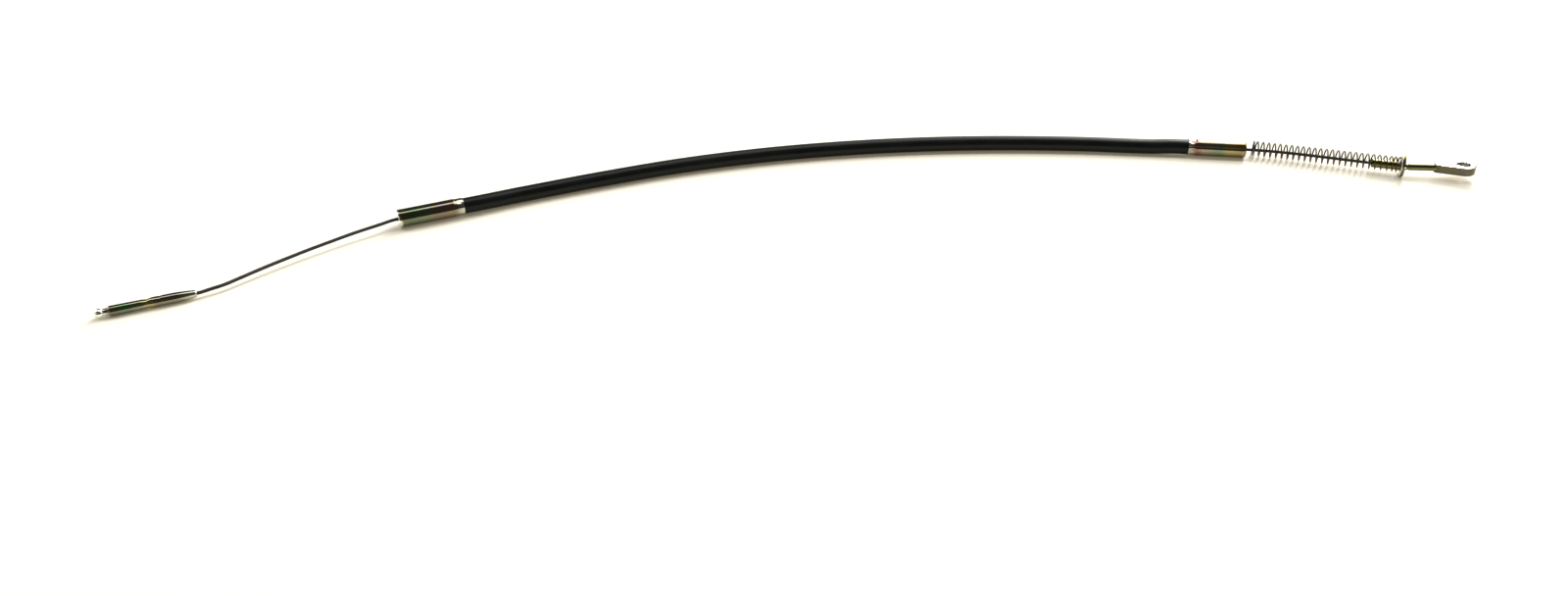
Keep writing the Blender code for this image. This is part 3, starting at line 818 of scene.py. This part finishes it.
eyeShape = {
    "drop": 0.0006,  # how low the terminal lies in the washer's hole
    "sleeveRadius": 0.0017,
    "sleeveLength": 0.0119,  # from the washer's back to the inner sleeve's free end
    "neckRadius": 0.00125,
    "neckLength": 0.0015,
    "nearTaper": (0.0003, 0.00025),  # length and depth of the outer sleeve's tapers
    "farTaper": (0.0015, 0.0004),
    "outerRadius": 0.0014,
    "outerLength": 0.0102,
    "earPower": 0.3,  # 1 would be round ears and 0 square ones
    "earSpan": 0.0052,
    "earWidth": 0.0009,
    "earLength": 0.0006,
    "earGap": 0.00005,
    "length": 0.015,
    "radius": 0.0042,
    "hole": 0.002,
    "thickness": 0.0034,
    "edge": 0.0004,
    "rootWidth": 0.00276,
    "rootDepth": 0.0005,
    "chamfer": 0.0002,  # at the hole, and at the sleeve's free end
    "soften": 0.00025,
    "filmStart": 0.046,  # from the spring's start, along the spring
    "filmLength": 0.038,
    "wallShade": 0.9,  # how much painted shade darkens the eye's outer wall
    "sides": 72,
}
eyeZinc = passivatedZincMaterial(
    "yellow passivated zinc, eye", eyeFinish, eyeFilm,
    springStart + springAxis * eyeShape["filmStart"], eyeAxis, eyeShape["filmLength"],
)

terminalFace = (
    washerMiddle + springAxis * washerShape["thickness"] / 2 - np.array([0.0, 0.0, eyeShape["drop"]])
)


def turnedRod(place, axis, height, radius, sides):
    angle = circleAngles(sides)[None, :]
    radius = np.asarray(radius)[:, None] + 0 * angle
    return gridShell(turnedSurface(place, axis, np.asarray(height)[:, None], radius, angle), False, True)


def makeRightTerminal(shape):
    # Two rods turned about their own lines and joined at the neck, with a ball where they bend
    bend = terminalFace + springAxis * shape["neckLength"] / 2
    chamfer, sleeve, neck = shape["chamfer"], shape["sleeveRadius"], shape["neckRadius"]
    rodRadius = shape["outerRadius"]
    neckEnd = shape["neckLength"] / 2
    far = shape["sleeveLength"] + neckEnd
    turn = np.linspace(0.0, math.pi / 2, 8)
    inner = turnedRod(
        bend, -springAxis,
        [far, far, far - chamfer, neckEnd, neckEnd, *(-neck * np.sin(turn))],
        [0.0, sleeve - chamfer, sleeve, sleeve, neck, *(neck * np.cos(turn[:-1])), 0.0],
        shape["sides"],
    )
    sleeveEnd = neckEnd + shape["outerLength"]
    fine, rod = softened(
        np.array([neckEnd, neckEnd + shape["nearTaper"][0], sleeveEnd, sleeveEnd + shape["farTaper"][0]]),
        np.array([rodRadius - shape["nearTaper"][1], rodRadius, rodRadius, rodRadius - shape["farTaper"][1]]),
        shape["soften"],
    )
    outer = turnedRod(
        bend, eyeAxis, [-neckEnd, -neckEnd, neckEnd, *fine, fine[-1]],
        [0.0, neck - 0.0001, neck - 0.0001, *rod, 0.0], shape["sides"],
    )
    across = unit(np.cross((0, 0, 1), eyeAxis))
    upward = np.cross(eyeAxis, across)

    # ears: a rounded block, x = a sgn(cos) |cos|^0.3 and so on, which is a superellipsoid
    u = np.linspace(-math.pi / 2, math.pi / 2, 25)[:, None]
    v = circleAngles(48)[None, :]
    power = shape["earPower"]
    lift = np.sign(np.sin(u)) * np.abs(np.sin(u)) ** power
    ring = np.abs(np.cos(u)) ** power
    ring[[0, -1]] = 0.0
    sx = ring * np.sign(np.cos(v)) * np.abs(np.cos(v)) ** power
    sy = ring * np.sign(np.sin(v)) * np.abs(np.sin(v)) ** power
    earMiddle = terminalFace + springAxis * (shape["earGap"] + shape["earLength"] / 2)
    level = unit(np.cross((0, 0, 1), springAxis))
    earPoints = (
        earMiddle
        + (sx * shape["earLength"] / 2)[..., None] * springAxis
        + (sy * shape["earWidth"] / 2)[..., None] * np.cross(springAxis, level)
        + ((lift + 0 * v) * shape["earSpan"] / 2)[..., None] * level
    )
    ears = gridShell(earPoints, False, True)

    # eye: seen from above its rim lies at R(u) from the hole's middle, which is the round end's
    # radius, then the tangent r / cos(u - u0), then the root's line; each section is a rounded
    # rectangle from the hole to the rim, a rho = a R(u) + b and z, closed round the hole
    middle = shape["length"] - shape["radius"]
    halfRoot = shape["rootWidth"] / 2
    spread = math.asin(shape["radius"] / math.hypot(middle, halfRoot)) - math.atan2(halfRoot, middle)
    u = circleAngles(160)
    off = np.abs((u + math.pi) % (2 * math.pi) - math.pi)
    tangentAt = math.pi / 2 + spread
    tangent = shape["radius"] / np.maximum(0.2, np.cos(off - tangentAt))
    rootLine = (middle + shape["rootDepth"]) / np.maximum(0.05, np.cos(math.pi - off))
    rim = np.where(off <= tangentAt, shape["radius"], np.minimum(tangent, rootLine))
    half, rounding = shape["thickness"] / 2, shape["edge"]
    quarter = np.linspace(0.0, math.pi / 2, 6)
    a = np.concatenate([np.zeros(8), [0.33, 0.66], np.ones(14), [0.66, 0.33]])
    b = np.concatenate([
        shape["hole"] + np.array([chamfer, 0.4 * chamfer, 0, 0, 0, 0, 0.4 * chamfer, chamfer]),
        (1 - np.array([0.33, 0.66])) * (shape["hole"] + chamfer) - np.array([0.33, 0.66]) * rounding,
        -rounding + rounding * np.sin(quarter), [0.0, 0.0], -rounding + rounding * np.cos(quarter),
        (1 - np.array([0.66, 0.33])) * (shape["hole"] + chamfer) - np.array([0.66, 0.33]) * rounding,
    ])
    z = np.concatenate([
        [-half, -half + 0.4 * chamfer, -half + chamfer, -half / 3],
        [half / 3, half - chamfer, half - 0.4 * chamfer, half],
        [half, half],
        half - rounding + rounding * np.cos(quarter), [half / 3, -half / 3],
        rounding - half - rounding * np.sin(quarter), [-half, -half],
    ])
    rho = a[None, :] * rim[:, None] + b[None, :]
    x, y = rho * np.cos(u)[:, None], rho * np.sin(u)[:, None]
    eyeMiddle = bend + eyeAxis * (sleeveEnd + middle)
    eyePoints = (
        eyeMiddle + x[..., None] * eyeAxis + y[..., None] * across + (z[None, :] + 0 * x)[..., None] * upward
    )
    # painted shade: the outer wall is darkened towards the dark olive lilac colour
    wall = np.where(a == 1.0, smoothStep((half - np.abs(z)) / rounding), 0.0)
    eye = gridShell(eyePoints, True, True, tone=shape["wallShade"] * wall + 0 * rho)
    terminal = makePiece("eyeEnd", [inner, outer, ears, eye], 35.0)
    dress(terminal, eyeZinc, "right_end", "plated_steel", "right_terminal")


makeRightTerminal(eyeShape)


def makeRightRope(shape):
    inner = rightMouth - rightAxis * shape["insideRight"]
    sleeveStart = terminalFace - springAxis * eyeShape["sleeveLength"]
    end = sleeveStart + springAxis * shape["insidePlug"]
    bend = smoothRoute([rightMouth, sleeveStart], rightAxis, springAxis, 0.001)
    path = evenly(np.concatenate([[inner], bend, [end]]), shape["step"])
    rope = makePiece("springRope", [strandedSurface(path, shape)], 60.0)
    dress(rope, ropeWire, "casing", "rope_steel", "right_cable")
    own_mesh(rope)


makeRightRope(ropeShape)
print("right end is made")


# Pieces inside the casing keep their solids
insideFinishes = {"steel_conduit": steelTape, "liner_tube": acetal, "casing_cable": ropeWire}
for node, material in insideFinishes.items():
    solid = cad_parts[node]
    solid.data.materials.clear()
    solid.data.materials.append(material)


stageLook = {
    "floor": "#ede9de",  # a warm white, so that the shadows turn tan
    "floorSize": 60.0,
    "glow": 0.14,  # what the floor adds for the camera and in reflections, so that it reads white
    "glowColour": "#f6e6bc",
    "lampPlace": (0.62, 0.92, 0.72),
    "lampSize": (0.14, 1.0),  # narrow and tall, for shadows that fade towards the camera
    "lampPower": 15.0,
    "lampColour": "#fffdf8",
}
roomLook = {
    "dim": "#56524a",
    "wall": "#c6c8c6",
    "shelf": "#e8d8cc",
    "window": "#ffffff",
    "windowStrength": 4.0,
    "paneSide": 0.32,  # how far right the middle of the window's tall part lies
    "shelfHeight": 0.53,  # sine of the shelf line's elevation
    # along which part of the direction each edge fades, where it is out and where it is full
    "edges": {
        "behind": ("Y", -0.02, 0.1),
        "above": ("Z", 0.1, 0.24),
        "overhead": ("Y", 0.34, 0.22),
        "farLeft": ("X", -0.5, -0.7),
        "pane": ("paneSide", 0.26, 0.12),
        "shelf": ("shelfHeight", 0.03, 0.0),
        "shelfEnd": ("X", 0.36, 0.27),
    },
}


def makeFloor(look):
    # white board that glows a little for every ray but the diffuse ones, and keeps the shadow
    size = look["floorSize"] / 2
    mesh = bpy.data.meshes.new("floor")
    corners = [(-size, -size, 0), (size, -size, 0), (size, size, 0), (-size, size, 0)]
    mesh.from_pydata(corners, [], [(0, 1, 2, 3)])
    floor = bpy.data.objects.new("floor", mesh)
    floor.location.z = -0.00001
    bpy.context.scene.collection.objects.link(floor)
    material, tree = newMaterial("painted white board")
    rays = addNode(tree, "ShaderNodeLightPath").outputs
    seen = rays["Is Camera Ray"]
    for other in ("Is Glossy Ray", "Is Transmission Ray"):
        seen = addNode(
            tree, "ShaderNodeMath", {"operation": "MAXIMUM"}, {0: seen, 1: rays[other]}
        ).outputs["Value"]
    strength = addNode(
        tree, "ShaderNodeMath", {"operation": "MULTIPLY", 1: look["glow"]}, {0: seen}
    ).outputs["Value"]
    paint = addNode(tree, "ShaderNodeBsdfDiffuse", {"Color": linearColour(look["floor"])})
    glow = addNode(
        tree, "ShaderNodeEmission", {"Color": linearColour(look["glowColour"])}, {"Strength": strength}
    )
    board = addNode(
        tree, "ShaderNodeAddShader", links={0: paint.outputs["BSDF"], 1: glow.outputs["Emission"]}
    )
    addNode(tree, "ShaderNodeOutputMaterial", links={"Surface": board.outputs["Shader"]})
    mesh.materials.append(material)


def makeLamp(look):
    # tall lamp behind on the right, turned towards the middle of the cable
    data = bpy.data.lights.new("tall softbox", "AREA")
    data.shape = "RECTANGLE"
    data.size, data.size_y = look["lampSize"]
    data.energy = look["lampPower"]
    data.color = linearColour(look["lampColour"])[:3]
    lamp = bpy.data.objects.new("tall softbox", data)
    bpy.context.scene.collection.objects.link(lamp)
    lamp.location = look["lampPlace"]
    lamp.rotation_euler = mathutils.Vector(look["lampPlace"]).to_track_quat("Z", "Y").to_euler()


def makeRoom(look):
    # A bright window behind on the right that carries on over the top as a narrow band, a pale
    # wall far left, and dim elsewhere with a thin shelf line; camera rays see white
    world = bpy.data.worlds.new("room")
    bpy.context.scene.world = world
    world.use_nodes = True
    tree = world.node_tree
    tree.nodes.clear()
    direction = addNode(tree, "ShaderNodeTexCoord").outputs["Generated"]
    parts = addNode(tree, "ShaderNodeSeparateXYZ", links={"Vector": direction}).outputs
    measures = {name: parts[name] for name in "XYZ"}
    for name, part in (("paneSide", "X"), ("shelfHeight", "Z")):
        off = addNode(
            tree, "ShaderNodeMath", {"operation": "SUBTRACT", 1: look[name]}, {0: parts[part]}
        ).outputs["Value"]
        measures[name] = addNode(tree, "ShaderNodeMath", {"operation": "ABSOLUTE"}, {0: off}).outputs["Value"]
    masks = {}
    for name, (measure, out, full) in look["edges"].items():
        masks[name] = addNode(
            tree, "ShaderNodeMapRange",
            {"From Min": out, "From Max": full, "interpolation_type": "SMOOTHSTEP"},
            {"Value": measures[measure]},
        ).outputs["Result"]
    for name, operation, first, second in (
        ("opening", "MAXIMUM", "pane", "overhead"),
        ("upAndBack", "MULTIPLY", "behind", "above"),
        ("window", "MULTIPLY", "upAndBack", "opening"),
        ("shelfLine", "MULTIPLY", "shelf", "shelfEnd"),
    ):
        masks[name] = addNode(
            tree, "ShaderNodeMath", {"operation": operation}, {0: masks[first], 1: masks[second]}
        ).outputs["Value"]
    lined = addNode(
        tree, "ShaderNodeMix",
        {"data_type": "RGBA", 6: linearColour(look["dim"]), 7: linearColour(look["shelf"])},
        {0: masks["shelfLine"]},
    )
    walled = addNode(
        tree, "ShaderNodeMix", {"data_type": "RGBA", 7: linearColour(look["wall"])},
        {0: masks["farLeft"], 6: lined.outputs[2]},
    )
    dim = addNode(tree, "ShaderNodeBackground", {"Strength": 1.0}, {"Color": walled.outputs[2]})
    bright = addNode(
        tree, "ShaderNodeBackground",
        {"Color": linearColour(look["window"]), "Strength": look["windowStrength"]},
    )
    around = addNode(
        tree, "ShaderNodeMixShader",
        links={0: masks["window"], 1: dim.outputs["Background"], 2: bright.outputs["Background"]},
    )
    plain = addNode(tree, "ShaderNodeBackground", {"Color": (1.0, 1.0, 1.0, 1.0), "Strength": 1.0})
    seenBy = addNode(tree, "ShaderNodeLightPath").outputs["Is Camera Ray"]
    shown = addNode(
        tree, "ShaderNodeMixShader",
        links={0: seenBy, 1: around.outputs["Shader"], 2: plain.outputs["Background"]},
    )
    addNode(tree, "ShaderNodeOutputWorld", links={"Surface": shown.outputs["Shader"]})


makeFloor(stageLook)
makeLamp(stageLook)
makeRoom(roomLook)
print("stage is made")
